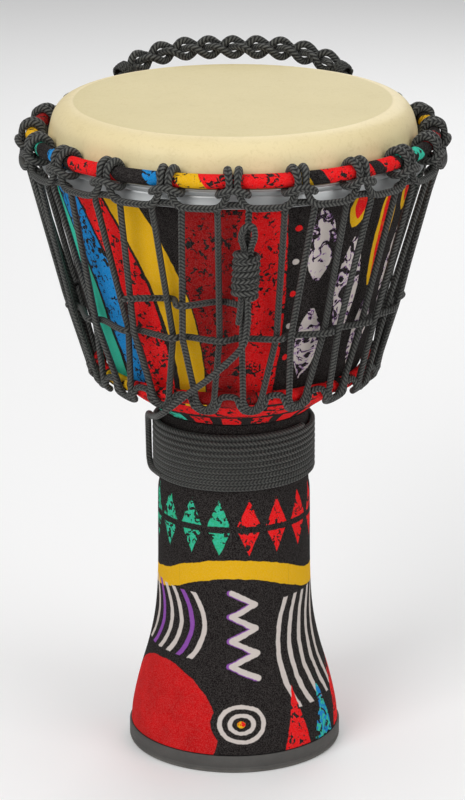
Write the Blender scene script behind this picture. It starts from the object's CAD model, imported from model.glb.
import random
from math import atan2, ceil, cos, degrees, hypot, pi, radians, sin

import bpy
from mathutils import Matrix, Vector


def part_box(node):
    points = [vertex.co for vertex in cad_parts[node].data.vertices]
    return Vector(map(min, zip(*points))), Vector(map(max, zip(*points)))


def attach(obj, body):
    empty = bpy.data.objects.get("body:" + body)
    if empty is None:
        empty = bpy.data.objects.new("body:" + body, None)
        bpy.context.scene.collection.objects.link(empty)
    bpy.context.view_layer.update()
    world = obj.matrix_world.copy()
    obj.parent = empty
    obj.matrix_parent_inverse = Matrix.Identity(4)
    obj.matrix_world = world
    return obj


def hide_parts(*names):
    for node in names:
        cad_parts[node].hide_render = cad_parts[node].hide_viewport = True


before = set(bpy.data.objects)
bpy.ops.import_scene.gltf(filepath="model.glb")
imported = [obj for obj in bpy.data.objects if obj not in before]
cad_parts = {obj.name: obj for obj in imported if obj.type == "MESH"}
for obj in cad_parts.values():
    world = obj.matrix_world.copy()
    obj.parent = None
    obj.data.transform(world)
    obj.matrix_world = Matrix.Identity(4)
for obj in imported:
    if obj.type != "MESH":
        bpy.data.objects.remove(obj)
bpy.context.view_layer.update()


# ---------------------------------------------------------------- sizes of the drum, in metres

HEAD_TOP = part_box("drumhead")[1][2]
FOOT_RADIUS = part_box("foot_ring")[1][0]
CROWN_TUBE = (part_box("crown_ring")[1][2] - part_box("crown_ring")[0][2]) / 2
CROWN_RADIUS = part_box("crown_ring")[1][0] - CROWN_TUBE
CROWN_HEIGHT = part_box("crown_ring")[1][2] - CROWN_TUBE
BASE_TUBE = (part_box("base_ring")[1][2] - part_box("base_ring")[0][2]) / 2
BASE_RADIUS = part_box("base_ring")[1][0] - BASE_TUBE
BASE_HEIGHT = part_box("base_ring")[1][2] - BASE_TUBE
HOOP_RADIUS = 0.142
HOOP_TOP = 0.474
HOOP_BOTTOM = 0.4602
HEAD_FLAT_RADIUS = 0.112
SHELL_WALL = 0.0055
FIT_GAP = 0.0003
FABRIC = 0.0005

ROPE = 0.0024
HITCH_ROPE = 0.0026
THIN_ROPE = 0.0020
HITCHES = 20
PITCH = 360 / HITCHES
SWAG_RADIUS = 0.1570
SWAG_HEIGHT = 0.4646
LACE_TOP_RADIUS = 0.1524
FOOT_SPREAD = 0.0110
LOOP_SHIFT = 7.0
LOOP_HALF = 3.4
WEAVE_LOW = 0.3585
WEAVE_HIGH = 0.3872
WRAP_TURNS = 9.4
WRAP_PITCH = 0.00443
WRAP_BOTTOM = 0.2192
WRAP_ROPE = 0.00205
WRAP_RADIUS = 0.0599
COIL_TURNS = 7
COIL_PITCH = 0.0050
COIL_BOTTOM = 0.3950
COIL_RADIUS = 0.0079
STRAND_NEST = 0.00285
RING_SIDES = 176
LACE_FOOT_RADIUS = 0.1098
LACE_FOOT_HEIGHT = 0.3080
LACE_TOP_HEIGHT = 0.4615
STRAND_GAP = 0.0046
WRAP_PLUMPED = 0.0022
HITCH_SPREAD = 0.16
PLAY_EDGE = 0.1185
CREASE_TOP = 0.5035
CREASE_FOOT = 0.4640

BODY_OUTLINE = (
    (0.1372, 0.4595), (0.1305, 0.4270), (0.1213, 0.3900), (0.1110, 0.3500), (0.1030, 0.3280),
    (0.0948, 0.3060), (0.0820, 0.2900), (0.0672, 0.2790), (0.0592, 0.2725), (0.0566, 0.2670),
    (0.0566, 0.2150), (0.0578, 0.2000), (0.0583, 0.1400), (0.0604, 0.1060), (0.0655, 0.0790),
    (0.0735, 0.0510), (0.0786, 0.0280), (0.0800, 0.0142))
BOWL_HEM = 8
HEAD_OUTLINE = (
    (HEAD_FLAT_RADIUS, 0.5080), (0.1220, 0.5071), (0.1290, 0.5040), (0.1338, 0.4975),
    (0.1362, 0.4895), (0.1375, 0.4824), (0.1392, 0.4630))


def around(azimuth, radius, height, along=0.0):
    """A point on the drum: degrees from the front, distance from the axis, height."""
    turn = radians(azimuth) + along / radius
    return Vector((radius * sin(turn), -radius * cos(turn), height))


# ---------------------------------------------------------------- camera, lights and floor

def place_camera():
    tilt = Matrix.Rotation(radians(90 - 17.88), 4, "X") @ Matrix.Rotation(radians(-0.15), 4, "Z")
    bpy.ops.object.camera_add(location=(-0.0009, -2.5548, 1.0973), rotation=tilt.to_euler())
    camera = bpy.context.object
    camera.name = "viewpoint"
    camera.data.lens = 158.6
    camera.data.sensor_width = 36
    camera.data.clip_end = 50
    bpy.context.scene.camera = camera


def soft_light(name, place, size, power, colour=(1, 1, 1)):
    """A square soft box aimed at the middle of the drum."""
    aim = Vector((0, 0, 0.28)) - Vector(place)
    bpy.ops.object.light_add(type="AREA", location=place,
                             rotation=aim.to_track_quat("-Z", "Y").to_euler())
    lamp = bpy.context.object
    lamp.name = name
    lamp.data.size = size
    lamp.data.energy = power
    lamp.data.color = colour


def light_the_studio():
    soft_light("front_left_softbox", (-1.5, -2.0, 1.9), 1.6, 44)
    soft_light("front_right_softbox", (1.9, -1.6, 1.3), 1.6, 20)
    soft_light("overhead_softbox", (0.1, 0.2, 2.6), 1.8, 13)
    soft_light("back_softbox", (0.4, 2.2, 1.6), 1.6, 16)
    world = bpy.data.worlds.new("pale_studio")
    bpy.context.scene.world = world
    world.use_nodes = True
    world.node_tree.nodes["Background"].inputs["Color"].default_value = (1, 1, 1, 1)
    world.node_tree.nodes["Background"].inputs["Strength"].default_value = 0.42
    bpy.context.scene.view_settings.view_transform = "Standard"


# ---------------------------------------------------------------- shader sums, as expressions

class Value:
    """A number that varies over a surface. Sums written on it add Math nodes."""

    def __init__(self, finish, socket):
        self.finish = finish
        self.socket = socket

    def math(self, operation, *others, clamp=False):
        values = [self] + list(others)
        return self.finish.add("ShaderNodeMath", {"operation": operation, "use_clamp": clamp},
                               dict(enumerate(values)))

    def __add__(self, other): return self.math("ADD", other)
    def __radd__(self, other): return self.math("ADD", other)
    def __sub__(self, other): return self.math("SUBTRACT", other)
    def __rsub__(self, other): return (self * -1) + other
    def __mul__(self, other): return self.math("MULTIPLY", other)
    def __rmul__(self, other): return self.math("MULTIPLY", other)
    def __truediv__(self, other): return self.math("DIVIDE", other)
    def __abs__(self): return self.math("ABSOLUTE")

    def wave(self): return self.math("SINE")
    def fraction(self): return self.math("FRACT")
    def least(self, other): return self.math("MINIMUM", other)
    def power(self, exponent): return self.math("POWER", exponent)
    def held(self): return self.math("ADD", 0.0, clamp=True)

    def inside(self, softness):
        """1 where this is above zero, 0 below, with an edge this soft."""
        return self.math("MULTIPLY_ADD", 1 / softness, 0.5, clamp=True)


class Finish:
    """One material under construction: a node tree with one Principled shader."""

    def __init__(self, name, **settings):
        self.material = bpy.data.materials.new(name)
        self.material.use_nodes = True
        self.nodes = self.material.node_tree.nodes
        self.links = self.material.node_tree.links
        self.shader = self.nodes["Principled BSDF"]
        for socket, value in settings.items():
            self.shader.inputs[socket.replace("_", " ")].default_value = value

    def add(self, kind, settings=None, inputs=None, output=0):
        """Any node: its own settings first, then the values or links of its sockets."""
        node = self.nodes.new(kind)
        for name, value in (settings or {}).items():
            setattr(node, name, value)
        for name, value in (inputs or {}).items():
            self.feed(node.inputs[name], value)
        return Value(self, node.outputs[output])

    def feed(self, socket, value):
        if isinstance(value, Value):
            self.links.new(value.socket, socket)
        else:
            socket.default_value = value

    def place(self):
        """x, y and z in metres on the piece."""
        spot = self.add("ShaderNodeTexCoord", output="Object")
        parts = self.nodes.new("ShaderNodeSeparateXYZ")
        self.links.new(spot.socket, parts.inputs[0])
        return (spot, *(Value(self, part) for part in parts.outputs))

    def along_cord(self):
        """Turns around a cord and metres along it, from its own map."""
        spot = self.add("ShaderNodeUVMap", {"uv_map": "cord"})
        parts = self.nodes.new("ShaderNodeSeparateXYZ")
        self.links.new(spot.socket, parts.inputs[0])
        return Value(self, parts.outputs[0]), Value(self, parts.outputs[1])

    def noise(self, spot, scale, detail=2.0, roughness=0.5, distortion=0.0):
        return self.add("ShaderNodeTexNoise", {}, {
            "Vector": spot, "Scale": scale, "Detail": detail, "Roughness": roughness,
            "Distortion": distortion})

    def mix(self, share, first, second):
        """The second colour over the first, by this share."""
        first, second = [ink if isinstance(ink, Value) or len(ink) == 4 else (*ink, 1)
                         for ink in (first, second)]
        return self.add("ShaderNodeMix", {"data_type": "RGBA"}, {
            0: share, 6: first, 7: second}, output=2)

    def colour(self, value): self.feed(self.shader.inputs["Base Color"], value)
    def roughness(self, value): self.feed(self.shader.inputs["Roughness"], value)

    def relief(self, *layers):
        """Bumps laid on each other, each a height from 0 to 1 and its depth in metres."""
        normal = None
        for height, depth in layers:
            inputs = {"Height": height, "Distance": depth, "Strength": 1.0}
            if normal is not None:
                inputs["Normal"] = normal
            normal = self.add("ShaderNodeBump", {}, inputs)
        self.feed(self.shader.inputs["Normal"], normal)


def paint(red, green, blue):
    """A colour as a paint chart gives it, 0 to 255, in the shader's own scale."""
    return tuple((c / 255) ** 2.2 for c in (red, green, blue))


# ---------------------------------------------------------------- finishes

def braided_rope(name, dark, light, pitch=0.0029, columns=4, sheen=0.1):
    """Braided cord: stitches in columns that lean opposite ways, so they meet in chevrons."""
    rope = Finish(name, Specular_IOR_Level=0.3, Sheen_Weight=sheen, Sheen_Roughness=0.5)
    turn, length = rope.along_cord()
    spot = rope.place()[0]
    column = turn * columns
    across = column.fraction()
    leaning = (column * 0.5).fraction().math("GREATER_THAN", 0.4999)
    slant = (across - 0.5) * (leaning * 2 - 1) * 1.15
    stitch = (length / pitch + slant).fraction()
    yarn = (stitch * (1 - stitch) * 4).power(0.7)
    ply = (across * (1 - across) * 4).power(0.35) * 0.5 + 0.5
    height = yarn * ply
    strands = ((turn * columns * 7 + (length / pitch) * 2.2) * 6.283).wave() * 0.5 + 0.5
    fuzz = rope.noise(spot, 1900, 3, 0.7)
    patches = rope.noise(spot, 60, 2)
    raised = (height - 0.76).inside(0.36)
    worn = rope.mix(raised * (fuzz * 0.9 + 0.25).held(), dark, light)
    worn = rope.mix((patches - 0.45).inside(0.5) * 0.3, worn, paint(16, 16, 16))
    rope.colour(rope.mix(strands * raised * 0.2, worn, paint(150, 150, 146)))
    rope.roughness(0.55 + fuzz * 0.3)
    rope.relief((height, 0.0010), (strands, 0.00012), (fuzz, 0.00015))
    return rope.material


def hoop_alloy():
    """Brushed alloy, the scratches running round the hoop, duller in patches."""
    metal = Finish("hoop_alloy", Metallic=1.0, Anisotropic=0.3)
    spot = metal.place()[0]
    rings = metal.noise(metal.add("ShaderNodeVectorMath", {"operation": "MULTIPLY"}, {
        0: spot, 1: (3.0, 3.0, 3200.0)}), 1.0, 3, 0.6)
    haze = metal.noise(spot, 26, 3)
    metal.colour(metal.mix(haze, paint(158, 161, 162), paint(190, 192, 192)))
    metal.roughness(0.34 + rings * 0.16 + haze * 0.12)
    metal.relief((rings, 0.00004))
    return metal.material


def drum_film():
    """Pale calf-coloured film: a darker playing area, a lighter shoulder, faint fibres in it."""
    film = Finish("head_film", Specular_IOR_Level=0.42, Coat_Weight=0.08, Coat_Roughness=0.45)
    spot, x, y, z = film.place()
    radius = (x * x + y * y).math("SQRT")
    clouds = film.noise(spot, 14, 4, 0.6)
    grain = film.noise(spot, 900, 3, 0.6)
    fibres = film.noise(spot, 160, 4, 0.7, 1.5)
    playing = (PLAY_EDGE - radius + (clouds - 0.5) * 0.002).inside(0.0012)
    rim = ((radius - PLAY_EDGE) * (radius - PLAY_EDGE) * -90000 + 0.12).held()
    shoulder = film.mix(clouds, paint(218, 200, 150), paint(231, 215, 170))
    middle = film.mix(clouds, paint(198, 183, 132), paint(213, 198, 147))
    skin = film.mix(playing, shoulder, middle)
    skin = film.mix(rim, skin, paint(186, 172, 124))
    skin = film.mix((fibres - 0.58).inside(0.12) * 0.15, skin, paint(180, 158, 104))
    stain = (0.482 - z + (clouds - 0.5) * 0.006).inside(0.012)
    skin = film.mix(stain * 0.55, skin, paint(178, 158, 112))
    film.colour(film.mix(grain * 0.14, skin, paint(150, 132, 92)))
    film.roughness(0.42 + grain * 0.16 + playing * 0.08)
    film.relief((grain, 0.00008), (fibres, 0.00006))
    return film.material


def black_rubber():
    """Moulded rubber: fine pitting, dust greying the top edge and scuffs near the floor."""
    rubber = Finish("foot_rubber", Specular_IOR_Level=0.35)
    spot, _, _, z = rubber.place()
    pits = rubber.noise(spot, 1500, 3, 0.6)
    dust = rubber.noise(spot, 45, 4, 0.65)
    scuffed = (0.0022 - z + (dust - 0.5) * 0.003).inside(0.0015)
    tone = rubber.mix(dust, paint(66, 65, 64), paint(92, 90, 87))
    tone = rubber.mix(scuffed * 0.5, tone, paint(118, 115, 109))
    rubber.colour(rubber.mix(pits * 0.2, tone, paint(40, 39, 38)))
    rubber.roughness(0.62 + pits * 0.2)
    rubber.relief((pits, 0.00012))
    return rubber.material


def shell_plastic():
    """Moulded black shell, satin, with the faint flow marks of the mould."""
    shell = Finish("shell_plastic", Specular_IOR_Level=0.45)
    spot = shell.place()[0]
    orange_peel = shell.noise(spot, 700, 2)
    flow = shell.noise(shell.add("ShaderNodeVectorMath", {"operation": "MULTIPLY"}, {
        0: spot, 1: (1.0, 1.0, 0.2)}), 30, 3)
    shell.colour(shell.mix(flow, paint(17, 17, 18), paint(34, 34, 36)))
    shell.roughness(0.36 + orange_peel * 0.14 + flow * 0.1)
    shell.relief((orange_peel, 0.00008))
    return shell.material


# ---------------------------------------------------------------- printed cloth

RED = paint(230, 0, 18)
DARK_RED = paint(156, 0, 10)
YELLOW = paint(228, 174, 2)
BLUE = paint(8, 130, 200)
TEAL = paint(52, 190, 160)
GREEN_TEAL = paint(40, 176, 130)
STEEP_BLADE = 12
PURPLE = paint(136, 74, 164)
OFF_WHITE = paint(206, 196, 190)
CLOTH_BLACK = paint(26, 22, 23)
ORANGE = paint(226, 74, 24)


def through(first, middle, last):
    """Factors of the curve that passes through three values at 0, a half and 1."""
    return first, -3 * first + 4 * middle - last, 2 * (first + last - 2 * middle)


class Print:
    """Block-printed cloth: shapes laid over each other by degrees round and millimetres up."""

    def __init__(self, name, reach):
        self.cloth = Finish(name, Specular_IOR_Level=0.06)
        self.spot, x, y, z = self.cloth.place()
        self.reach = reach
        drift = self.cloth.noise(self.spot, 75, 3, 0.6)
        waver = self.cloth.noise(self.spot, 68, 3, 0.6)
        ragged = self.cloth.noise(self.spot, 420, 2)
        self.round = x.math("ARCTAN2", y * -1) * (180 / pi) + (drift - 0.5) * (3.0 / reach)
        self.up = z * 1000 + (waver - 0.5) * 3.0 + (ragged - 0.5) * 0.9
        self.grain = self.cloth.noise(self.spot, 1100, 3, 0.7)
        blots = self.cloth.noise(self.spot, 270, 2, 0.5, 0.8)
        crowd = self.cloth.noise(self.spot, 62, 2)
        self.blots = blots + crowd * 0.55 - 0.865
        holed = self.cloth.noise(self.spot, 120, 3, 0.55, 1.4)
        self.holes = (holed - 0.535).inside(0.02)
        self.rims = (holed - 0.505).inside(0.02)
        self.edges = (self.cloth.noise(self.spot, 150, 3, 0.6, 1.6) - 0.50).inside(0.03)
        self.now = CLOTH_BLACK

    def turned_from(self, middle):
        """Degrees from a shape's middle. The print repeats each half turn, so none is cut."""
        return ((self.round * (1 / 180) + (0.5 - middle / 180)).fraction() - 0.5) * 180

    def lay(self, mask, ink):
        self.now = self.cloth.mix(mask, self.now, ink)

    def upright(self, low, high, middle, half, ink, edge=0.0):
        """A blade that runs up the cloth: its middle and half width at foot, waist and tip."""
        share = (self.up - low) * (1 / (high - low))
        anchor = middle[1]
        c0, c1, c2 = through(*(value - anchor for value in middle))
        h0, h1, h2 = through(*half)
        off = abs(self.turned_from(anchor) - (share * (share * c2 + c1) + c0)) * self.reach
        if abs(c1) + abs(c2) > STEEP_BLADE:
            slope = (share * (2 * c2) + c1) * (self.reach / (high - low))
            off = off / (slope * slope + 1).math("SQRT")
        inside = (share * (share * h2 + h1) + h0) * self.reach - off
        ends = (0.5 - abs(share - 0.5)) * (high - low)
        if edge:
            self.lay((inside + edge).least(ends).inside(0.5), CLOTH_BLACK)
        mask = inside.least(ends).inside(0.5)
        self.lay(mask, ink)
        return mask

    def level(self, left, right, middle, half, ink):
        """A blade that runs round the cloth: its height and half width at left, waist, right."""
        centre = (left + right) / 2
        share = self.turned_from(centre) * (1 / (right - left)) + 0.5
        c0, c1, c2 = through(*middle)
        h0, h1, h2 = through(*half)
        off = abs(self.up - (share * (share * c2 + c1) + c0))
        slope = (share * (2 * c2) + c1) * (1 / ((right - left) * self.reach))
        off = off / (slope * slope + 1).math("SQRT")
        ends = (0.5 - abs(share - 0.5)) * ((right - left) * self.reach)
        mask = (share * (share * h2 + h1) + h0 - off).least(ends).inside(0.5)
        self.lay(mask, ink)
        return mask

    def flag(self, corners, ink):
        """A straight-edged shape through corners given left-handed round it."""
        centre = sum(corner[0] for corner in corners) / len(corners)
        across = self.turned_from(centre) * self.reach
        mask = None
        for (a, b), (c, d) in zip(corners, corners[1:] + corners[:1]):
            run, rise = (c - a) * self.reach, d - b
            length = hypot(run, rise)
            side = ((across - (a - centre) * self.reach) * (rise / length)
                    + (self.up - b) * (-run / length))
            mask = side if mask is None else mask.least(side)
        mask = mask.inside(0.5)
        self.lay(mask, ink)
        return mask

    def ring(self, middle, height, radius, half, ink):
        """A round blot, or a ring with this radius and half width."""
        across = self.turned_from(middle) * self.reach
        rise = self.up - height
        away = (across * across + rise * rise).math("SQRT")
        mask = (half - abs(away - radius)).inside(0.5)
        self.lay(mask, ink)
        return mask

    def stroke(self, spots, half, ink):
        """A pen line through spots given as degrees round and millimetres up."""
        centre = spots[0][0]
        across = self.turned_from(centre) * self.reach
        nearest = None
        for (a, b), (c, d) in zip(spots, spots[1:]):
            run, rise = (c - a) * self.reach, d - b
            away, above = across - (a - centre) * self.reach, self.up - b
            along = ((away * run + above * rise) * (1 / (run * run + rise * rise))).held()
            away, above = away - along * run, above - along * rise
            gap = away * away + above * above
            nearest = gap if nearest is None else nearest.least(gap)
        mask = (half - nearest.math("SQRT")).inside(0.5)
        self.lay(mask, ink)
        return mask

    def speckled(self, ink, fleck=CLOTH_BLACK, crowding=0.0):
        return self.cloth.mix((self.blots + crowding).inside(0.025), ink, fleck)

    def splatter(self):
        """Off-white ink broken by black holes with purple rims."""
        return self.cloth.mix(self.holes, self.cloth.mix(self.rims * 0.8, OFF_WHITE, PURPLE),
                              CLOTH_BLACK)

    def woven(self):
        """Matt cotton under the ink: threads both ways, slubs, and a hint of bleed."""
        threads = 2 * pi / 0.46
        warp = (self.round * (self.reach * threads)).wave()
        weft = (self.up * threads).wave()
        weave = warp * weft * 0.5 + 0.5
        inked = self.cloth.mix((self.grain - 0.35).held() * 0.22, self.now, paint(20, 16, 16))
        inked = self.cloth.mix((self.cloth.noise(self.spot, 1500, 2) - 0.52).inside(0.2) * 0.05,
                               inked, paint(235, 228, 220))
        self.cloth.colour(inked)
        self.cloth.roughness(0.78 + self.grain * 0.2)
        self.cloth.relief((weave, 0.00012), (self.grain, 0.00015))
        return self.cloth.material


def bowl_print():
    """Equal curved bands, a two-tone panel, and speckled leaves on black beside it."""
    cloth = Print("bowl_cloth", reach=2.15)
    deep = cloth.cloth.mix((cloth.turned_from(2.0) * 0.12 + 0.3).held(), DARK_RED, RED)
    cloth.upright(283, 466, (0.0, 0.0, 0.0), (16.0, 18.0, 16.0), cloth.speckled(deep))
    bands = ((-25.0, YELLOW), (-39.0, cloth.speckled(RED)), (-53.0, cloth.speckled(BLUE)),
             (-67.0, TEAL))
    for middle, ink in bands:
        cloth.upright(290, 466, (middle + 6, middle + 4, middle - 14), (5.4, 6.0, 5.4), ink,
                      edge=1.2)
    white = cloth.splatter()
    for middle, low, high in ((29.0, 398, 456), (29.0, 318, 376), (43.0, 346, 428),
                              (57.0, 318, 376), (71.0, 346, 428)):
        cloth.upright(low, high, (middle, middle, middle), (0.8, 5.4, 0.8), white)
    for middle in (43.0, 57.0, 71.0):
        low = 436 if middle != 57.0 else 384
        cloth.upright(low, 464, (middle - 2, middle, middle + 2), (0.8, 4.6, 2.6), YELLOW)
        cloth.upright(low + 6, 464, (middle - 1, middle, middle + 1), (0.4, 2.6, 1.2),
                      cloth.speckled(RED, ORANGE))
    for step in range(5):
        cloth.ring(20.5, 442.0 - 26.0 * step, 0.0, 2.4, OFF_WHITE if step % 2 else RED)
    cloth.level(-90.0, 90.0, (289.0, 289.0, 289.0), (5.0, 5.0, 5.0), cloth.speckled(RED))
    blocks = (cloth.speckled(TEAL), cloth.speckled(RED), RED)
    for step in range(9):
        start = 20.0 * step - 88.0
        cloth.level(start, start + 13, (277.0, 277.0, 277.0), (4.0, 4.0, 4.0), blocks[step // 3])
    return cloth.woven()


def stem_print():
    """Rows of triangles, a wavy yellow band, even white arcs, a ringed dot and a red mound."""
    cloth = Print("stem_cloth", reach=1.05)
    teal = cloth.cloth.mix(cloth.edges * 0.6, GREEN_TEAL, TEAL)
    teal = cloth.speckled(teal, crowding=0.05)
    spotted = cloth.speckled(RED)
    for step in range(8):
        middle = 22.5 * step - 78.75
        ink = teal if step < 4 else spotted
        cloth.flag([(middle - 9, 191), (middle, 212), (middle + 9, 191)], ink)
        cloth.flag([(middle - 8, 186), (middle + 8, 186), (middle, 168)], ink)
    cloth.level(-45, 45, (147.0, 157.0, 147.0), (7.5, 7.5, 7.5), YELLOW)
    cloth.level(45, 135, (147.0, 137.0, 147.0), (7.5, 7.5, 7.5), YELLOW)
    for step in range(5):
        middle = 32.0 + 10.0 * step
        cloth.upright(44, 130, (middle + 10, middle, middle + 10), (1.7, 1.9, 1.7), OFF_WHITE)
    for step in range(6):
        middle = -22.0 - 10.0 * step
        cloth.upright(84, 136, (middle - 10, middle, middle - 10), (1.7, 1.9, 1.7),
                      PURPLE if step in (1, 4) else OFF_WHITE)
    for shift, ink in ((-1.6, PURPLE), (0.0, OFF_WHITE)):
        zigzag = [(shift + (16 if step % 2 else -2), 138 - 9.5 * step) for step in range(8)]
        cloth.stroke(zigzag, 2.1, ink)
    mottle = cloth.cloth.mix(cloth.cloth.noise(cloth.spot, 45, 4, 0.7), DARK_RED, RED)
    cloth.ring(-55.0, 30.0, 0.0, 48.0, mottle)
    cloth.ring(4.0, 38.0, 0.0, 19.0, CLOTH_BLACK)
    cloth.ring(4.0, 38.0, 13.5, 1.5, OFF_WHITE)
    cloth.ring(4.0, 38.0, 7.0, 1.4, OFF_WHITE)
    cloth.ring(4.0, 38.0, 0.0, 2.6, cloth.cloth.mix(cloth.edges, YELLOW, RED))
    sea = cloth.cloth.mix(cloth.holes, cloth.cloth.mix(cloth.edges, BLUE, TEAL), CLOTH_BLACK)
    for middle, ink in ((38.0, spotted), (60.0, sea), (82.0, spotted)):
        cloth.flag([(middle - 9, 14), (middle, 62), (middle + 9, 14)], ink)
    return cloth.woven()


def ring_print(name, reach, patches):
    """Leftover strips of the same cloth, sewn end to end round a ring."""
    cloth = Print(name, reach)
    inks = {"red": RED, "dark": DARK_RED, "black": CLOTH_BLACK, "yellow": YELLOW, "blue": BLUE,
            "teal": TEAL, "orange": ORANGE}
    for left, right, ink in patches:
        centre = (left + right) / 2
        half = (right - left) / 2
        near = abs(cloth.turned_from(centre) + (cloth.up - 482) * 0.25)
        cloth.lay(((half - near) * reach).inside(0.5), cloth.speckled(inks[ink]))
    return cloth.woven()


# ---------------------------------------------------------------- how pieces are made

def deselect_all():
    bpy.ops.object.select_all(action="DESELECT")


def take_up(piece, name):
    """Names a fresh piece and makes it the only one in hand."""
    deselect_all()
    piece.select_set(True)
    bpy.context.view_layer.objects.active = piece
    piece.name = name
    piece.data.name = name


def set_down(piece, finish, smooth=40):
    """Freezes a piece's place into its mesh, shades it and gives it its finish."""
    take_up(piece, piece.name)
    bpy.ops.object.transform_apply(location=True, rotation=True, scale=True)
    bpy.ops.object.shade_smooth_by_angle(angle=radians(smooth))
    piece.data.materials.clear()
    piece.data.materials.append(finish)
    return piece


def apply_modifier(piece, kind, **settings):
    take_up(piece, piece.name)
    modifier = piece.modifiers.new(kind.lower(), kind)
    for name, value in settings.items():
        setattr(modifier, name, value)
    bpy.ops.object.modifier_apply(modifier=modifier.name)


def turn_piece(name, outline, closed=False, sides=RING_SIDES):
    """Drawn up ring by ring from a circle: each ring is extruded, lifted and resized."""
    deselect_all()
    radius, height = outline[0]
    bpy.ops.mesh.primitive_circle_add(vertices=sides, radius=radius, location=(0, 0, height))
    take_up(bpy.context.object, name)
    piece = bpy.context.object
    bpy.ops.object.mode_set(mode="EDIT")
    bpy.ops.mesh.select_all(action="SELECT")
    for next_radius, next_height in outline[1:]:
        bpy.ops.mesh.extrude_region_move(
            TRANSFORM_OT_translate={"value": (0, 0, next_height - height)})
        grown = next_radius / radius
        bpy.ops.transform.resize(value=(grown, grown, 1), center_override=(0, 0, next_height))
        radius, height = next_radius, next_height
    if closed:
        bpy.ops.mesh.select_all(action="DESELECT")
        bpy.ops.mesh.select_non_manifold(extend=False, use_wire=False, use_multi_face=False,
                                         use_non_contiguous=False, use_verts=False)
        bpy.ops.mesh.bridge_edge_loops()
    bpy.ops.mesh.select_all(action="SELECT")
    bpy.ops.mesh.normals_make_consistent(inside=False)
    bpy.ops.object.mode_set(mode="OBJECT")
    return piece


def rounded(outline, steps=4):
    """A smooth line through the turning outline, with this many steps to each point."""
    line = []
    last = len(outline) - 1
    for index in range(last):
        before = outline[max(index - 1, 0)]
        start, end = outline[index], outline[index + 1]
        after = outline[min(index + 2, last)]
        for step in range(steps):
            line.append(spline_point(before, start, end, after, step / steps))
    line.append(tuple(outline[last]))
    return line


def spline_point(before, start, end, after, share):
    """A point this share of the way from start to end, on a smooth line through all four."""
    return tuple(
        s + share * (0.5 * (e - b) + share * (
            b - 2.5 * s + 2 * e - 0.5 * a + share * (-0.5 * b + 1.5 * s - 1.5 * e + 0.5 * a)))
        for b, s, e, a in zip(before, start, end, after))


def inset(outline, distance):
    """An outline that runs from top to bottom, moved inwards square to itself."""
    moved = []
    last = len(outline) - 1
    for index, (radius, height) in enumerate(outline):
        ahead, back = outline[min(index + 1, last)], outline[max(index - 1, 0)]
        run, rise = ahead[0] - back[0], ahead[1] - back[1]
        length = hypot(run, rise)
        moved.append((radius + distance * rise / length, height - distance * run / length))
    return moved


# ---------------------------------------------------------------- ropes

def smooth_route(knots, step, closed=False):
    """Evenly spaced points on a smooth line through a rope's knots."""
    count = len(knots)
    fine = []
    spans = count if closed else count - 1
    for index in range(spans):
        if closed:
            four = [knots[(index + offset) % count] for offset in (-1, 0, 1, 2)]
        else:
            four = [knots[min(max(index + offset, 0), count - 1)] for offset in (-1, 0, 1, 2)]
        pieces = max(4, ceil((four[2] - four[1]).length / step * 2))
        fine += [Vector(spline_point(*four, part / pieces)) for part in range(pieces)]
    fine.append(fine[0].copy() if closed else knots[-1].copy())
    reach = [0.0]
    for start, end in zip(fine, fine[1:]):
        reach.append(reach[-1] + (end - start).length)
    parts = max(3, round(reach[-1] / step))
    route, index = [], 0
    for part in range(parts + (0 if closed else 1)):
        goal = reach[-1] * part / parts
        while index < len(fine) - 2 and reach[index + 1] < goal:
            index += 1
        span = reach[index + 1] - reach[index]
        route.append(fine[index].lerp(fine[index + 1], (goal - reach[index]) / span if span else 0))
    return route


def rope_frames(route, closed):
    """Directions across the rope at each point, turned as little as possible on the way."""
    count = len(route)
    ahead = []
    for index in range(count):
        if closed:
            run = route[(index + 1) % count] - route[index - 1]
        else:
            run = route[min(index + 1, count - 1)] - route[max(index - 1, 0)]
        ahead.append(run.normalized())
    outward = Vector((route[0].x, route[0].y, 0.0))
    across = (outward - ahead[0] * outward.dot(ahead[0])).normalized()
    sides = [across]
    for index in range(1, count):
        across = (across - ahead[index] * across.dot(ahead[index])).normalized()
        sides.append(across)
    if closed:
        last = (across - ahead[0] * across.dot(ahead[0])).normalized()
        error = atan2(last.cross(sides[0]).dot(ahead[0]), last.dot(sides[0]))
        sides = [Matrix.Rotation(error * index / count, 3, ahead[index]) @ side
                 for index, side in enumerate(sides)]
    return ahead, sides


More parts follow.
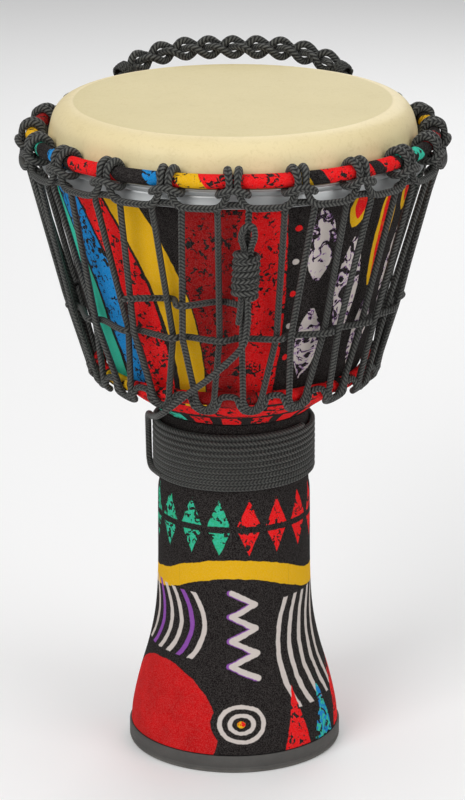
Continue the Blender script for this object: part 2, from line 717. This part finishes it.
def rope_piece(name, strands, radius, finish, step=0.0024, sides=10, closed=False, pitch=0.0030,
               swell=None):
    """Lays rope along one or more routes. The map on it gives turns around and metres along."""
    points, faces, turns = [], [], []
    for knots in strands:
        route = smooth_route(knots, step, closed)
        ahead, across = rope_frames(route, closed)
        count, first = len(route), len(points)
        length = sum((route[(index + 1) % count] - route[index]).length
                     for index in range(count - (not closed)))
        whole = max(1, round(length / pitch)) * pitch if closed else length
        spans = count if closed else count - 1
        for index, middle in enumerate(route):
            size = radius * swell(middle) if swell else radius
            second = ahead[index].cross(across[index])
            for side in range(sides):
                turn = 2 * pi * side / sides
                spoke = across[index] * cos(turn) + second * sin(turn)
                points.append(middle + spoke * size)
        for index in range(spans):
            near, far = first + index * sides, first + (index + 1) % count * sides
            for side in range(sides):
                after = (side + 1) % sides
                faces.append((near + side, near + after, far + after, far + side))
                low, high = whole * index / spans, whole * (index + 1) / spans
                left, right = side / sides, (side + 1) / sides
                turns += [(left, low), (right, low), (right, high), (left, high)]
        if not closed:
            for ring, backwards in ((first, True), (first + (count - 1) * sides, False)):
                hub = len(points)
                points.append(route[0] if backwards else route[-1])
                for side in range(sides):
                    pair = (ring + side, ring + (side + 1) % sides)
                    faces.append((hub, pair[1], pair[0]) if backwards else (hub, pair[0], pair[1]))
                    turns += [(0.5, 0.0), (0.5, 0.001), (0.4, 0.001)]
    mesh = bpy.data.meshes.new(name)
    mesh.from_pydata([tuple(point) for point in points], [], faces)
    layer = mesh.uv_layers.new(name="cord")
    for spot, value in zip(layer.data, turns):
        spot.uv = value
    mesh.materials.append(finish)
    mesh.polygons.foreach_set("use_smooth", [True] * len(mesh.polygons))
    mesh.update()
    piece = bpy.data.objects.new(name, mesh)
    bpy.context.scene.collection.objects.link(piece)
    return piece


# ---------------------------------------------------------------- turned pieces

def make_shell(finish):
    outer = inset(BODY_OUTLINE, FABRIC + FIT_GAP)
    edge = inset(HEAD_OUTLINE, 0.0011)[::-1]
    inner = inset(BODY_OUTLINE, FABRIC + FIT_GAP + SHELL_WALL)
    lip = [(0.1128, 0.5025), (0.1190, 0.4980), (0.1265, 0.4900), (0.1310, 0.4640)]
    outside = rounded([(inner[-1][0], 0.0045), (outer[-1][0], 0.0045)], 1)
    outside += rounded(outer[::-1], 3) + rounded(edge, 3)
    inside = rounded(lip + inner[1::1], 2)
    return set_down(turn_piece("shell_turned", outside + inside, closed=True), finish)


def make_cloth(name, outline, finish):
    """Printed cloth drawn tight over the shell."""
    line = rounded(outline, 5)
    piece = turn_piece(name, line[::-1])
    apply_modifier(piece, "SOLIDIFY", thickness=FABRIC, offset=-1.0)
    return set_down(piece, finish, smooth=60)


def make_foot_ring(finish):
    inner = FOOT_RADIUS - 0.0102
    sleeve, top = 0.0803, 0.0137
    outline = [
        (sleeve, 0.0042), (sleeve, top - 0.0004), (sleeve + 0.0004, top),
        (FOOT_RADIUS - 0.0009, top), (FOOT_RADIUS - 0.0004, top - 0.0004),
        (FOOT_RADIUS, top - 0.0012), (FOOT_RADIUS, 0.0052), (FOOT_RADIUS - 0.0002, 0.0049),
        (FOOT_RADIUS - 0.0002, 0.0045), (FOOT_RADIUS, 0.0042), (FOOT_RADIUS, 0.0018),
        (FOOT_RADIUS - 0.0005, 0.0006), (FOOT_RADIUS - 0.0017, 0.0), (inner + 0.0010, 0.0),
        (inner + 0.0003, 0.0003), (inner, 0.0010), (inner, 0.0042)]
    return set_down(turn_piece("foot_ring_moulded", outline[::-1], closed=True), finish, smooth=50)


def make_head(finish):
    """Film head: a flat playing face, a rolled shoulder and a collar, crimped by the strands."""
    line = rounded(HEAD_OUTLINE, 6)
    deselect_all()
    bpy.ops.mesh.primitive_circle_add(vertices=RING_SIDES, radius=HEAD_FLAT_RADIUS,
                                      fill_type="TRIFAN", location=(0, 0, HEAD_TOP))
    flat = bpy.context.object
    collar = turn_piece("head_film_stretched", line[::-1])
    take_up(collar, "head_film_stretched")
    flat.select_set(True)
    bpy.ops.object.join()
    head = bpy.context.object
    bpy.ops.object.mode_set(mode="EDIT")
    bpy.ops.mesh.select_all(action="SELECT")
    bpy.ops.mesh.remove_doubles(threshold=0.0001)
    bpy.ops.mesh.normals_make_consistent(inside=False)
    bpy.ops.object.mode_set(mode="OBJECT")
    crimp_collar(head)
    apply_modifier(head, "SOLIDIFY", thickness=0.0006, offset=-1.0)
    return set_down(head, finish, smooth=60)


def crimp_collar(head):
    """Small pleats where the film is pulled down over the edge, deepest just above the hoop."""
    luck = random.Random(11)
    waves = [(luck.randint(24, 70), luck.uniform(0, 2 * pi), luck.uniform(0.4, 1.0))
             for _ in range(5)]
    for spot in head.data.vertices:
        height = spot.co.z
        if not CREASE_FOOT <= height <= CREASE_TOP:
            continue
        depth = min(1.0, (CREASE_TOP - height) / 0.018) * 0.00032
        turn = atan2(spot.co.x, -spot.co.y)
        push = sum(size * sin(count * turn + start + (0.5 - height) * 60)
                   for count, start, size in waves) / 3
        grown = 1 - depth * abs(push) / hypot(spot.co.x, spot.co.y)
        spot.co.x *= grown
        spot.co.y *= grown


def make_hoop(finish):
    inner, groove = 0.1396, HOOP_TOP - 0.0042
    outline = [
        (inner, HOOP_BOTTOM + 0.0003), (inner, HOOP_TOP - 0.0003), (inner + 0.0003, HOOP_TOP),
        (HOOP_RADIUS - 0.0008, HOOP_TOP), (HOOP_RADIUS - 0.0001, HOOP_TOP - 0.0004),
        (HOOP_RADIUS + 0.0003, HOOP_TOP - 0.0012), (HOOP_RADIUS + 0.0004, HOOP_TOP - 0.0022),
        (HOOP_RADIUS + 0.0002, groove + 0.0007), (HOOP_RADIUS - 0.0004, groove + 0.0002),
        (HOOP_RADIUS - 0.0006, groove - 0.0002), (HOOP_RADIUS - 0.0002, groove - 0.0008),
        (HOOP_RADIUS, groove - 0.0014), (HOOP_RADIUS, HOOP_BOTTOM + 0.0012),
        (HOOP_RADIUS + 0.0003, HOOP_BOTTOM + 0.0007), (HOOP_RADIUS + 0.0003, HOOP_BOTTOM + 0.0003),
        (HOOP_RADIUS - 0.0002, HOOP_BOTTOM), (inner + 0.0003, HOOP_BOTTOM)]
    return set_down(turn_piece("hoop_rolled", outline[::-1], closed=True), finish, smooth=35)


# ---------------------------------------------------------------- cloth-sleeved rings

def make_ring(name, radius, height, tube, finish, grips, half_grip):
    """A ring in its cloth sleeve: a torus pinched a little wherever a rope grips it."""
    deselect_all()
    bpy.ops.mesh.primitive_torus_add(major_radius=radius, minor_radius=tube, major_segments=360,
                                     minor_segments=24, location=(0, 0, height))
    ring = bpy.context.object
    take_up(ring, name)
    bpy.ops.object.mode_set(mode="EDIT")
    bpy.ops.mesh.select_mode(type="VERT")
    for azimuth in grips:
        choose_vertices(ring, lambda spot: near_turn(spot, azimuth) < half_grip)
        bpy.ops.transform.shrink_fatten(value=-tube * 0.05)
    bpy.ops.object.mode_set(mode="OBJECT")
    return set_down(ring, finish, smooth=60)


def near_turn(spot, azimuth):
    """How many degrees a point lies from an azimuth."""
    return abs((degrees(atan2(spot.x, -spot.y)) - azimuth + 180) % 360 - 180)


def choose_vertices(piece, wanted):
    """Selects vertices by their place, with the piece open in edit mode."""
    bpy.ops.mesh.select_all(action="DESELECT")
    bpy.ops.object.mode_set(mode="OBJECT")
    place = piece.matrix_world
    for spot in piece.data.vertices:
        spot.select = wanted(place @ spot.co)
    bpy.ops.object.mode_set(mode="EDIT")


# ---------------------------------------------------------------- rope work

def crown_point(azimuth, along, reach, angle):
    """A point round the crown ring's tube: angle 0 faces out and 90 is on top."""
    radius = CROWN_RADIUS + reach * cos(radians(angle))
    height = CROWN_HEIGHT + reach * sin(radians(angle))
    return around(azimuth, radius, height, along)


def half_hitch(azimuth, side):
    """Right (1) or left (-1) half of a lark's head, from under its bar down to its foot."""
    turns = ((0.0062, 0.0116, -26), (0.0104, 0.0104, -52), (0.0096, 0.0088, -104),
             (0.0062, 0.0081, -160), (0.0044, 0.0083, 152), (0.0039, 0.0084, 96),
             (0.0034, 0.0083, 42), (0.0030, 0.0081, -6))
    path = [crown_point(azimuth, side * along, reach, angle) for along, reach, angle in turns]
    path.append(around(azimuth, 0.1560, 0.4716, side * 0.0054))
    path.append(around(azimuth, SWAG_RADIUS, 0.4655, side * FOOT_SPREAD))
    return path


def hitch_swell(spot):
    """Rope pulled hard over the ring spreads a little."""
    over = (spot.z - CROWN_HEIGHT - 0.002) / 0.004
    return 1 + HITCH_SPREAD * min(1.0, max(0.0, over))


def crown_cradle_route():
    path = []
    for hitch in range(HITCHES):
        azimuth = hitch * PITCH
        path += half_hitch(azimuth, -1)[::-1]
        path.append(crown_point(azimuth, 0.0, 0.0118, -21))
        path += half_hitch(azimuth, 1)
        path.append(around(azimuth + PITCH / 2, SWAG_RADIUS, SWAG_HEIGHT))
    return path


def lace_radius(height):
    share = (height - LACE_FOOT_HEIGHT) / (LACE_TOP_HEIGHT - LACE_FOOT_HEIGHT)
    return LACE_FOOT_RADIUS + (LACE_TOP_RADIUS - LACE_FOOT_RADIUS) * share


def crossing_azimuth(hitch, side):
    """Pairs of strands draw together to the left of their hitch; the front pair less so."""
    return hitch * PITCH - 1.0 + (side * 1.6 if hitch == 0 else 0.0)


def lace_crossing(hitch, side, height):
    return around(crossing_azimuth(hitch, side), lace_radius(height) + side * 0.0025, height,
                  side * STRAND_GAP)


def lacing_route():
    """One rope, zigzagging from the crown's arches to the loops on the base ring."""
    foot = degrees(FOOT_SPREAD / LACE_TOP_RADIUS)
    path = []
    for hitch in range(HITCHES):
        azimuth = hitch * PITCH
        path.append(lace_crossing(hitch, -1, WEAVE_LOW))
        path.append(around(azimuth - foot, LACE_TOP_RADIUS, 0.4610))
        path.append(around(azimuth - foot * 0.78, 0.1522, 0.4656))
        path.append(around(azimuth + foot * 0.78, 0.1522, 0.4656))
        path.append(around(azimuth + foot, LACE_TOP_RADIUS, 0.4610))
        path.append(lace_crossing(hitch, 1, WEAVE_LOW))
        loop = azimuth + LOOP_SHIFT
        path.append(around(loop - LOOP_HALF, LACE_FOOT_RADIUS, 0.3070))
        path.append(around(loop - LOOP_HALF * 0.45, 0.1079, 0.3008))
        path.append(around(loop + LOOP_HALF * 0.45, 0.1079, 0.3008))
        path.append(around(loop + LOOP_HALF, LACE_FOOT_RADIUS, 0.3070))
    return tightened(path)


def tightened(path, share=0.86):
    """Adds knots near each end of the long spans, so a pulled rope runs straight between bends."""
    tight = []
    for index, spot in enumerate(path):
        after = path[(index + 1) % len(path)]
        tight.append(spot)
        if (after - spot).length > 0.03:
            tight.append(spot.lerp(after, 1 - share))
            tight.append(spot.lerp(after, share))
    return tight


def base_cradle_route():
    path = []
    for loop in range(HITCHES):
        azimuth = loop * PITCH + LOOP_SHIFT
        path.append(around(azimuth - 4.5, 0.1093, 0.3030))
        path.append(around(azimuth - 2.2, 0.1034, 0.2974))
        path.append(around(azimuth + 2.2, 0.1034, 0.2974))
        path.append(around(azimuth + 4.5, 0.1093, 0.3030))
        path.append(around(azimuth + 6.4, 0.1086, 0.3096))
        path.append(around(azimuth + PITCH - 6.4, 0.1086, 0.3096))
    return path


def weave_low_route():
    """In front of each left strand and behind each right one, all the way round."""
    return [around(crossing_azimuth(hitch, side), lace_radius(WEAVE_LOW) - side * 0.0036,
                   WEAVE_LOW, side * STRAND_GAP)
            for hitch in range(HITCHES) for side in (-1, 1)]


def straight_lace(hitch, side, height):
    """A strand's place between its foot and the lower weave row."""
    top = around(hitch * PITCH, LACE_TOP_RADIUS, 0.4610, side * FOOT_SPREAD)
    low = lace_crossing(hitch, side, WEAVE_LOW)
    return low.lerp(top, (height - low.z) / (top.z - low.z))


def weave_high_route():
    path = [around(-27.0, 0.1330, WEAVE_HIGH + 0.0015)]
    for count, (hitch, side) in enumerate(((-2, 1), (-1, -1), (-1, 1), (0, -1))):
        strand = straight_lace(hitch, side, WEAVE_HIGH)
        outward = Vector((strand.x, strand.y, 0.0)).normalized()
        path.append(strand + outward * (0.0064 if count % 2 == 0 else -0.0064))
    return path + [around(1.6, 0.1345, WEAVE_HIGH + 0.0005)]


def coil_point(height, along, out):
    """A point beside the tie-off's axis, which leans with the strand it is hung on."""
    strand = straight_lace(0, 1, height)
    outward = Vector((strand.x, strand.y, 0.0)).normalized()
    sideways = Vector((-outward.y, outward.x, 0.0))
    return strand + outward * (STRAND_NEST + out) + sideways * along


def tie_coil_route():
    per_turn = 12
    path = []
    for step in range(COIL_TURNS * per_turn + 1):
        turn = 2 * pi * step / per_turn
        height = COIL_BOTTOM + COIL_PITCH * step / per_turn
        path.append(coil_point(height, COIL_RADIUS * sin(turn), COIL_RADIUS * cos(turn)))
    return path


def tie_tail_route():
    """One rope: up through the coil, an eye above it, back down and off to the neck."""
    beside, front = 0.00252, 0.00143
    return [
        coil_point(0.3740, -0.0036, 0.0030), coil_point(0.3900, -beside, front),
        coil_point(0.4150, -beside, front), coil_point(0.4330, -beside, front),
        coil_point(0.4430, -0.0050, 0.0026), coil_point(0.4515, -0.0026, 0.0044),
        coil_point(0.4515, 0.0028, 0.0044), coil_point(0.4430, 0.0046, 0.0026),
        coil_point(0.4330, beside, front), coil_point(0.4150, beside, front),
        coil_point(0.3900, beside, front), coil_point(0.3740, 0.0030, 0.0034),
        around(2.4, 0.1355, 0.3560), around(-7.0, 0.1270, 0.3320),
        around(-16.0, 0.1180, 0.3150), around(-27.0, 0.1150, 0.2960),
        around(-40.0, 0.0930, 0.2835), around(-58.0, 0.0745, 0.2755),
        around(-76.0, 0.0668, 0.2665), around(-87.0, 0.0652, 0.2540),
        around(-91.0, 0.0650, 0.2380), around(-89.0, 0.0646, 0.2275),
        around(-84.0, 0.0634, 0.2226), around(-75.0, 0.0612, 0.2214),
        around(-64.0, 0.0600, 0.2216)]


def neck_wrap_route():
    """The spare rope, laid in close turns round the throat."""
    per_turn = 24
    return [around(360 * step / per_turn - 90, WRAP_RADIUS,
                   WRAP_BOTTOM + WRAP_ROPE + WRAP_PITCH * step / per_turn)
            for step in range(1, round(WRAP_TURNS * per_turn) + 1)]


# ---------------------------------------------------------------- carrying handle

HANDLE_AZIMUTH = 45
HANDLE_STRAND = 0.0029
HANDLE_EYE = 0.0080
EYE_SPREAD = 0.0030
GRIP_RISE = 0.0316
GRIP_LEAN = 0.0466
LEAN_SQUARENESS = 5.0
RISE_SQUARENESS = 3.2
PLAIT_WIDTH = 0.0062
PLAIT_DEPTH = 0.0044
PLAIT_TURNS = 3.0
PLAIT_SHARE = 0.76
WHIPPING_CORD = 0.0013
WHIPPING_END = 0.835


def handle_anchor(side):
    """Where a handle eye circles the crown ring; both lie on the handle's axis."""
    turn = radians(HANDLE_AZIMUTH)
    return Vector((side * CROWN_RADIUS * sin(turn), CROWN_RADIUS * cos(turn), CROWN_HEIGHT))


def grip_centre(share):
    anchor = handle_anchor(1)
    lean = GRIP_LEAN * (1 - abs(share) ** LEAN_SQUARENESS)
    rise = GRIP_RISE * (1 - abs(share) ** RISE_SQUARENESS)
    return Vector((share * anchor.x, anchor.y + lean, anchor.z + rise))


def grip_frame(share):
    """Centre, width direction and depth direction of the plait."""
    ahead = (grip_centre(share + 0.004) - grip_centre(share - 0.004)).normalized()
    lean = Vector((0.0, GRIP_LEAN, GRIP_RISE)).normalized()
    depth = ahead.cross(lean).normalized()
    return grip_centre(share), depth.cross(ahead), depth


def even_shares(first, last, steps):
    """Shares of the span that step evenly along the curved grip."""
    fine = [first + (last - first) * i / 400 for i in range(401)]
    lengths = [0.0]
    for a, b in zip(fine, fine[1:]):
        lengths.append(lengths[-1] + (grip_centre(b) - grip_centre(a)).length)
    shares, mark = [], 0
    for step in range(steps + 1):
        while mark < 400 and lengths[mark] < lengths[-1] * step / steps:
            mark += 1
        shares.append(fine[mark])
    return shares


def plait_strand_route(phase):
    """One of three strands, swinging across the grip and over and under the others."""
    steps = 108
    path = []
    for step, share in enumerate(even_shares(-PLAIT_SHARE, PLAIT_SHARE, steps)):
        centre, wide, deep = grip_frame(share)
        turn = 2 * pi * (PLAIT_TURNS * step / steps + phase / 3)
        path.append(centre + wide * (PLAIT_WIDTH * sin(turn))
                    + deep * (PLAIT_DEPTH * sin(2 * turn)))
    return path


def whipping_route(side):
    """A fine cord wound tight round the ends of the strands."""
    near = grip_centre(side * (PLAIT_SHARE + 0.016))
    far = grip_centre(side * (WHIPPING_END + 0.002))
    ahead = (far - near).normalized()
    wide = ahead.orthogonal().normalized()
    deep = ahead.cross(wide)
    turns, per_turn = 5, 16
    path = []
    for step in range(turns * per_turn + 1):
        turn = 2 * pi * step / per_turn
        swell = 0.0060 + 0.0006 * sin(pi * step / (turns * per_turn))
        path.append(near.lerp(far, step / (turns * per_turn))
                    + (wide * cos(turn) + deep * sin(turn)) * swell)
    return path


def whipping_core_route(side):
    """The bundled strand ends inside the whipping."""
    near = grip_centre(side * (PLAIT_SHARE + 0.012))
    far = grip_centre(side * (WHIPPING_END + 0.006))
    return [near.lerp(far, share / 4) for share in range(5)]


def handle_eye_route(side):
    """Doubled cord from the whipping down to the crown ring, round it and back."""
    anchor = handle_anchor(side)
    face = grip_centre(side * (WHIPPING_END + 0.008))
    along = Vector((anchor.y, -anchor.x, 0.0)).normalized()
    towards = face - anchor
    first = (towards - along * towards.dot(along)).normalized()
    second = along.cross(first)
    path = [face + second * EYE_SPREAD]
    for step in range(10):
        turn = radians(58 + 244 * step / 9)
        path.append(anchor + first * (HANDLE_EYE * cos(turn)) + second * (HANDLE_EYE * sin(turn)))
    path.append(face - second * EYE_SPREAD)
    return path


# ---------------------------------------------------------------- putting it together

def on_body(piece, body, slot, *nodes):
    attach(piece, body)
    if nodes:
        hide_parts(*nodes)
    return piece


def turned_area(outline):
    """Area of cloth that covers an outline turned right round."""
    return sum(pi * (a[0] + b[0]) * hypot(b[0] - a[0], b[1] - a[1])
               for a, b in zip(outline, outline[1:]))


def build_body():
    on_body(make_shell(shell_plastic()), "drum", "shell_plastic", "shell")
    bowl_line = list(BODY_OUTLINE[:BOWL_HEM + 1])
    bowl = make_cloth("bowl_cloth_wrapped", bowl_line, bowl_print())
    on_body(bowl, "drum", "bowl_cloth", "bowl_fabric")
    turned_area(bowl_line)
    radius, height = BODY_OUTLINE[BOWL_HEM]
    stem_line = [(radius, height - 0.0008)] + list(BODY_OUTLINE[BOWL_HEM + 1:])
    stem = make_cloth("stem_cloth_wrapped", stem_line, stem_print())
    on_body(stem, "drum", "stem_cloth", "stem_fabric")
    turned_area(stem_line)
    on_body(make_foot_ring(black_rubber()), "drum", "foot_rubber", "foot_ring")
    on_body(make_head(drum_film()), "drum", "head_film", "drumhead")
    on_body(make_hoop(hoop_alloy()), "drum", "hoop_alloy", "head_hoop")


CROWN_PATCHES = (
    (-90, -76, "yellow"), (-70, -68, "teal"), (-60, -53, "blue"), (-50, -34, "red"),
    (-24, -20, "blue"), (-17, -1, "red"), (-15, -8, "yellow"), (0, 17, "red"), (18, 21, "yellow"),
    (26, 41, "red"), (45, 51, "red"), (53, 57, "teal"), (60, 64, "teal"), (71, 84, "dark"))
BASE_PATCHES = (
    (-88, -60, "red"), (-58, -34, "dark"), (-33, 4, "red"), (8, 30, "red"), (30, 38, "black"),
    (38, 70, "red"), (72, 88, "yellow"))


def build_rings():
    hitches = [hitch * PITCH for hitch in range(HITCHES)]
    crown = make_ring("crown_ring_sleeved", CROWN_RADIUS, CROWN_HEIGHT, CROWN_TUBE,
                      ring_print("crown_ring_cloth", 2.6, CROWN_PATCHES), hitches, 2.2)
    on_body(crown, "drum", "ring_cloth", "crown_ring")
    loops = [hitch + LOOP_SHIFT for hitch in hitches]
    base = make_ring("base_ring_sleeved", BASE_RADIUS, BASE_HEIGHT, BASE_TUBE,
                     ring_print("base_ring_cloth", 1.8, BASE_PATCHES), loops, 3.6)
    on_body(base, "drum", "ring_cloth", "base_ring")


def build_ropes():
    cord = braided_rope("black_rope", paint(9, 9, 9), paint(96, 97, 92))
    held = (
        ("crown_cradle_rope", crown_cradle_route(), "crown_cradle", HITCH_ROPE, 0.0016, True),
        ("lacing_rope", lacing_route(), "lacing", ROPE, 0.0034, True),
        ("base_cradle_rope", base_cradle_route(), "base_cradle", ROPE, 0.0020, True),
        ("weave_low_rope", weave_low_route(), "weave_low", ROPE, 0.0020, True),
        ("weave_high_rope", weave_high_route(), "weave_high", ROPE, 0.0018, False),
        ("tie_coil_rope", tie_coil_route(), "tie_coil", ROPE, 0.0016, False),
        ("tie_tail_rope", tie_tail_route(), "tie_tail", ROPE, 0.0020, False),
        ("neck_wrap_rope", neck_wrap_route(), "neck_wrap", WRAP_PLUMPED, 0.0024, False))
    for name, route, node, radius, step, closed in held:
        swell = hitch_swell if node == "crown_cradle" else None
        piece = rope_piece(name, [route], radius, cord, step=step, closed=closed, swell=swell)
        on_body(piece, "drum", "black_rope", node)
    return cord


def build_handle(cord):
    for phase, letter in enumerate("abc"):
        strand = rope_piece("plait_" + letter, [plait_strand_route(phase)], HANDLE_STRAND, cord,
                            step=0.0014, sides=14)
        on_body(strand, "handle", "black_rope", "handle_strand_" + letter)
    for side, word in ((-1, "left"), (1, "right")):
        whipping = rope_piece("whipping_" + word,
                              [whipping_route(side), whipping_core_route(side)],
                              WHIPPING_CORD, cord, step=0.0012, sides=8)
        on_body(whipping, "handle", "black_rope", "handle_whipping_" + word)
        eye = rope_piece("eye_" + word, [handle_eye_route(side)], THIN_ROPE, cord, step=0.0014)
        on_body(eye, "handle", "black_rope", "handle_eye_" + word)


def pale_floor():
    deselect_all()
    bpy.ops.mesh.primitive_plane_add(size=12, location=(0, 0, 0))
    floor = bpy.context.object
    floor.name = "floor"
    paper = Finish("pale_floor", Roughness=0.9, Specular_IOR_Level=0.1)
    paper.colour((0.93, 0.93, 0.93, 1))
    floor.data.materials.append(paper.material)


place_camera()
light_the_studio()
pale_floor()
build_body()
build_rings()
build_handle(build_ropes())
